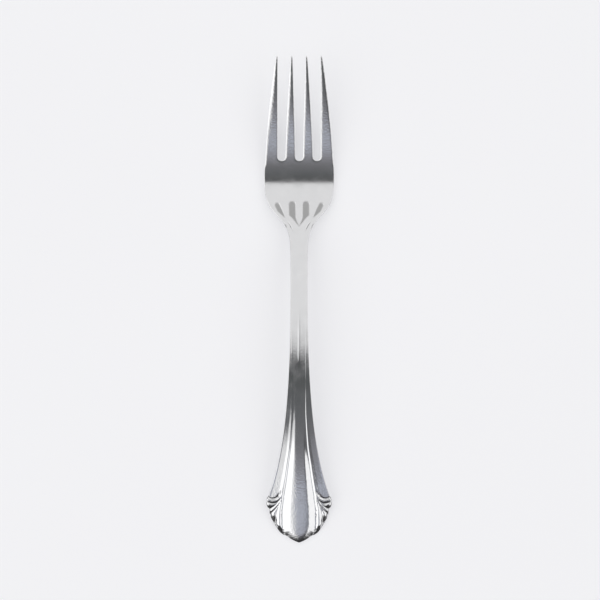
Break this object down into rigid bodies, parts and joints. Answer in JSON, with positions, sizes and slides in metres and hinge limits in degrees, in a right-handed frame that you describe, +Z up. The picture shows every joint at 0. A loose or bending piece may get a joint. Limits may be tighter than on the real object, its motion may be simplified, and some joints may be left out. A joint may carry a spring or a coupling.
{
  "type": "dinner fork",
  "caption": "Table fork with tapered tines, a shallow bowl, a slim neck and a fluted handle that flares to a scalloped shell end.",
  "frame": {"origin": "on the table surface under the middle of the fork's length and width, where the bowl's underside and the flat under the handle's end rest at z = 0", "axes": "+Y from the handle towards the tine tips, +X to the right seen from above, +Z up, out of the bowl's hollow side"},
  "size_m": [0.0274, 0.19, 0.0129],
  "materials": {
    "stainless_steel": "bright polished stainless steel with fine scratches from use"
  },
  "bodies": {
    "root": {"tine_1": "stainless_steel", "tine_2": "stainless_steel", "tine_3": "stainless_steel", "tine_4": "stainless_steel", "head": "stainless_steel", "neck": "stainless_steel", "handle": "stainless_steel", "shell_end": "stainless_steel"}
  },
  "joints": []
}
